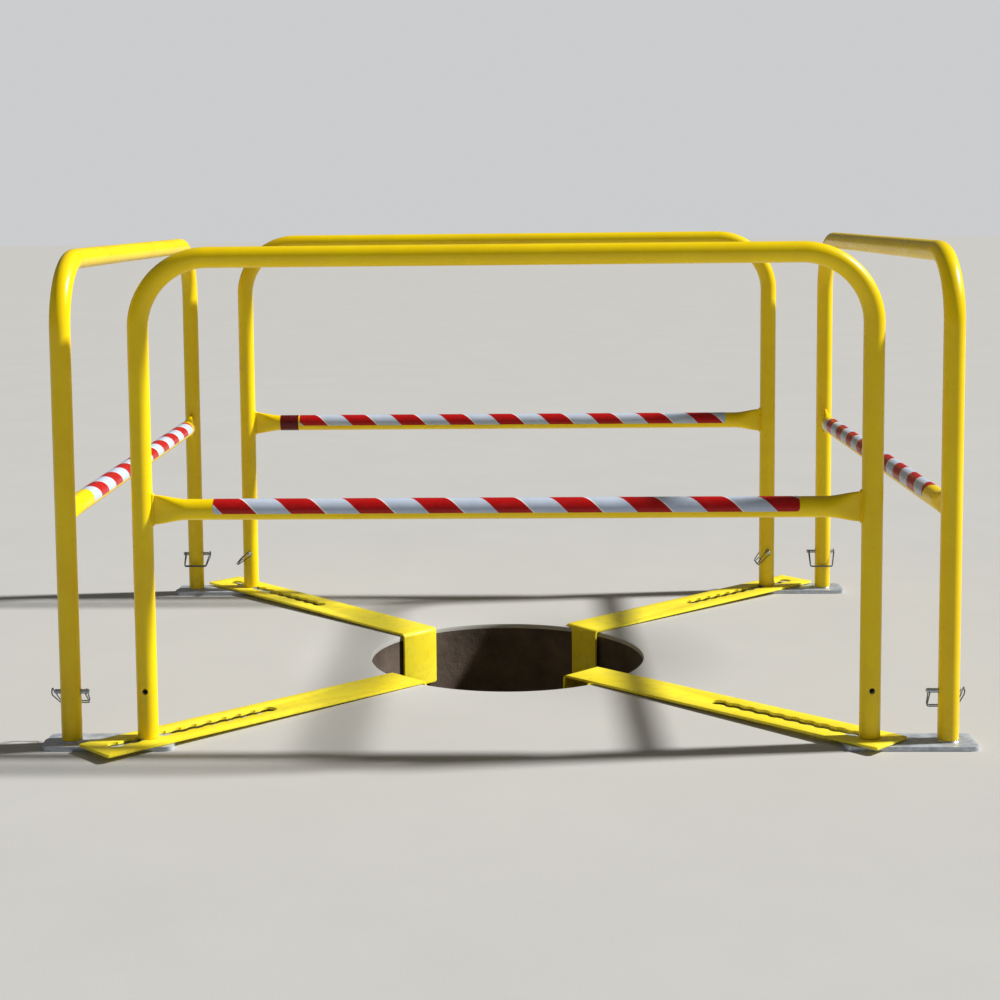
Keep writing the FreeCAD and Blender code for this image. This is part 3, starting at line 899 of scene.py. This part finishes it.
M_FRAME = yellow("yellow_powder_coat", 0.0, (250, 220, 0), (243, 206, 0))
# The arms' pale base colours are partly their worn, dusty paint and partly a painted sheen: sky reflection painted in
# as a lighter yellow over the whole arm.
M_ARM_PAINTED_SHEEN = yellow("yellow_arm_coat", 0.6, (255, 240, 62), (252, 230, 40))
M_TAPE_FRONT = tape("reflective_stripe_tape_front", True, 0.1457, -0.0209, 1.0)
M_TAPE_REAR = tape("reflective_stripe_tape_rear", True, 0.1457, -0.0120, 1.0)
M_TAPE_LEFT = tape("reflective_stripe_tape_left", True, 0.1457, -0.0783, 1.0)
M_TAPE_RIGHT = tape("reflective_stripe_tape_right", True, 0.1485, -0.0500, 1.0)
M_BAND = tape("dark_red_tape", False)
M_GALV = galvanised("galvanised_steel")
M_GALV_B = galvanised("galvanised_weld", 1.0)
M_ZINC_X = zinc("zinc_plated_steel_x", "X")
M_ZINC_Y = zinc("zinc_plated_steel_y", "Y")
M_WIRE = zinc("spring_wire", "A", 1.2)


def place(o, node, body, material):
    o.data.materials.clear()
    o.data.materials.append(material)
    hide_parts(node)
    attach(o, body)
    return o


# ------------------------------------------------------------------ panels
PANELS = {
    "front": (0, (0, -HALF, ZG + LEG_IN), "front_panel", (-0.616, 0.616), M_TAPE_FRONT),
    "rear": (0, (0, HALF, ZG + LEG_IN), "root", (-0.613, 0.644), M_TAPE_REAR),
    "left": (90, (-XS, 0, ZG + LEG_OUT), "root", (-0.596, 0.640), M_TAPE_LEFT),
    "right": (-90, (XS, 0, ZG + LEG_OUT), "root", (-0.640, 0.596), M_TAPE_RIGHT),
}
for i, (pn, (rot, loc, body, (t0, t1), tm)) in enumerate(PANELS.items()):
    for part, o, mat, sl in (
        ("frame", make_frame("vis_%s_frame" % pn), M_FRAME, "yellow_powder_coat"),
        ("mid_rail", make_rail("vis_%s_mid_rail" % pn), M_FRAME, "yellow_powder_coat"),
        ("rail_welds", make_welds("vis_%s_rail_welds" % pn, 20 + i), M_FRAME, "yellow_powder_coat"),
        ("tape", make_tape("vis_%s_tape" % pn, t0, t1, -17, 114, 40 + i), tm, "reflective_stripe_tape"),
    ):
        keep_normals = part == "frame"
        if keep_normals:
            me = o.data
            cn = np.zeros(len(me.loops) * 3, np.float32)
            me.corner_normals.foreach_get("vector", cn)
            cn = cn.reshape(-1, 3)
            a = math.radians(rot)
            rm = np.array([[math.cos(a), -math.sin(a), 0], [math.sin(a), math.cos(a), 0], [0, 0, 1]], np.float32)
            transform(o, rot, loc)
            me.normals_split_custom_set([tuple(v) for v in cn @ rm.T])
        else:
            transform(o, rot, loc)
        place(o, "%s_%s" % (pn, part), body, mat)

band = make_tape("vis_rear_tape_band", -0.671, -0.6175, -190, 180, 60, wrap=True)
transform(band, 0, (0, HALF, ZG + LEG_IN))
place(band, "rear_tape_band", "root", M_BAND)

# ------------------------------------------------------------------ corners
CORNERS = {"front_left": (-1, -1), "front_right": (1, -1), "rear_left": (-1, 1), "rear_right": (1, 1)}
ARMS = {"front_left": (45, 2), "front_right": (135, 0), "rear_left": (-45, 2), "rear_right": (221, 2)}
for i, (cn_, (sx, sy)) in enumerate(CORNERS.items()):
    xo = sx * XS
    xi = sx * HALF
    y = sy * HALF
    cx = sx * (XS + PLATE_OUT - PLATE_L / 2)
    o = transform(make_base_plate("vis_base_plate_" + cn_), 0, (cx, y, ZG))
    place(o, "base_plate_" + cn_, "root", M_GALV)
    o = transform(make_spigot("vis_spigot_outer_" + cn_, LEG_OUT + PIN_H - PLATE_T, (1, 0, 0)), 0, (xo, y, ZG + PLATE_T))
    place(o, "spigot_outer_" + cn_, "root", M_GALV)
    o = transform(make_spigot("vis_spigot_inner_" + cn_, LEG_IN + PIN_H - PLATE_T, (0, 1, 0)), 0, (xi, y, ZG + PLATE_T))
    place(o, "spigot_inner_" + cn_, "root", M_GALV)
    o = transform(make_ring_weld("vis_spigot_weld_" + cn_, 80 + i), 0, (xo, y, ZG + PLATE_T))
    place(o, "spigot_weld_" + cn_, "root", M_GALV_B)
    direction, lobe = ARMS[cn_]
    o = transform(make_arm("vis_arm_" + cn_, lobe), direction, (xi, y, ZG))
    place(o, "arm_" + cn_, "arm_" + cn_, M_ARM_PAINTED_SHEEN)

# ------------------------------------------------------------------ pins and bails
PINS = {
    "left_front": (-XS, -HALF, LEG_OUT, 180, -1, 48, -0.033), "left_rear": (-XS, HALF, LEG_OUT, 0, -1, 50, -0.030),
    "right_front": (XS, -HALF, LEG_OUT, 0, 1, 34, -0.041), "right_rear": (XS, HALF, LEG_OUT, 0, -1, 34, -0.040),
    "rear_left": (-HALF, HALF, LEG_IN, 90, 1, 50, -0.036), "rear_right": (HALF, HALF, LEG_IN, 90, 1, 40, -0.036),
}
for pn, (x, y, z, rot, side, lean, px) in PINS.items():
    o = transform(make_pin("vis_pin_" + pn, side, lean, px), rot, (x, y, ZG + z + PIN_H))
    place(o, "pin_" + pn, "pin_" + pn, M_ZINC_Y if rot == 90 else M_ZINC_X)
    o = transform(make_bail("vis_bail_" + pn, side, lean, px), rot, (x, y, ZG + z + PIN_H))
    place(o, "bail_" + pn, "bail_" + pn, M_WIRE)

# ------------------------------------------------------------------ floor with a plain round opening
RO = 0.347


def revolve(name, prof, seg, mat):
    verts, faces = [], []
    for r, z in prof:
        for k in range(seg):
            a = 2 * math.pi * k / seg
            verts.append((r * math.cos(a), r * math.sin(a), z))
    for i in range(len(prof) - 1):
        faces += bridge(i * seg, (i + 1) * seg, seg)
    me = bpy.data.meshes.new(name)
    me.from_pydata(verts, [], faces)
    o = bpy.data.objects.new(name, me)
    SC.objects.link(o)
    o.data.materials.append(mat)
    smooth(o, 30)
    return o


floor = revolve("floor", [(60.0, ZG), (12.0, ZG), (3.0, ZG), (0.6, ZG), (RO + 0.004, ZG), (RO + 0.001, ZG - 0.0012), (RO, ZG - 0.004), (RO, ZG - 0.012)], 160, floor_mat())
shaft = revolve("floor_opening", [(RO, ZG - 0.012), (RO, ZG - 0.09), (RO, ZG - 0.50), (0.001, ZG - 0.50)], 160, shaft_mat())

# ------------------------------------------------------------------ camera and light
FOC, CX, CY = 1789.0, 450.0, 380.0
pitch, roll, yaw = math.radians(5.48), math.radians(-0.60), math.radians(-1.99)
fwd = Vector((math.sin(yaw) * math.cos(pitch), math.cos(yaw) * math.cos(pitch), -math.sin(pitch)))
right = Vector((math.cos(yaw), -math.sin(yaw), 0))
up = right.cross(fwd)
r2 = right * math.cos(roll) + up * math.sin(roll)
u2 = up * math.cos(roll) - right * math.sin(roll)
cam_data = bpy.data.cameras.new("camera")
cam = bpy.data.objects.new("camera", cam_data)
SC.objects.link(cam)
cam.matrix_world = Matrix(((r2.x, u2.x, -fwd.x, 0.017), (r2.y, u2.y, -fwd.y, -4.504), (r2.z, u2.z, -fwd.z, ZG + 1.142), (0, 0, 0, 1)))
cam_data.sensor_width = 36.0
cam_data.sensor_fit = "HORIZONTAL"
cam_data.lens = FOC / 1000 * 36.0
cam_data.shift_x = (500 - CX) / 1000
cam_data.shift_y = -(500 - CY) / 1000
cam_data.clip_start, cam_data.clip_end = 0.05, 200
bpy.context.scene.camera = cam
bpy.context.scene.view_settings.view_transform = "Standard"


def area(name, loc, target, size, power, colour=(1, 1, 1)):
    d = bpy.data.lights.new(name, "AREA")
    d.shape = "DISK"
    d.size = size
    d.energy = power
    d.color = colour
    o = bpy.data.objects.new(name, d)
    o.location = loc
    o.rotation_mode = "QUATERNION"
    o.rotation_quaternion = (Vector(target) - Vector(loc)).to_track_quat("-Z", "Y")
    SC.objects.link(o)
    return o


sun_data = bpy.data.lights.new("key", "SUN")
sun_data.energy = 5.6
sun_data.angle = math.radians(4.0)
sun_data.color = (1.0, 0.975, 0.93)
sun = bpy.data.objects.new("key", sun_data)
sun.rotation_mode = "QUATERNION"
sun.rotation_quaternion = Vector((-0.78, -0.10, -0.62)).to_track_quat("-Z", "Y")
sun.location = (4, -2, 5)
SC.objects.link(sun)
area("fill", (-4.5, -5.0, 3.6), (0, 0, 0.6), 3.5, 4, (0.90, 0.95, 1.0))
world = bpy.data.worlds.new("studio")
bpy.context.scene.world = world
world.use_nodes = True
bg = world.node_tree.nodes.get("Background") or world.node_tree.nodes.new("ShaderNodeBackground")
bg.inputs[0].default_value = (0.97, 0.98, 1.0, 1.0)
bg.inputs[1].default_value = 0.12
lp = world.node_tree.nodes.new("ShaderNodeLightPath")
mx = world.node_tree.nodes.new("ShaderNodeMapRange")
mx.inputs["To Min"].default_value = 0.12
mx.inputs["To Max"].default_value = 0.62
world.node_tree.links.new(lp.outputs["Is Camera Ray"], mx.inputs["Value"])
world.node_tree.links.new(mx.outputs["Result"], bg.inputs[1])
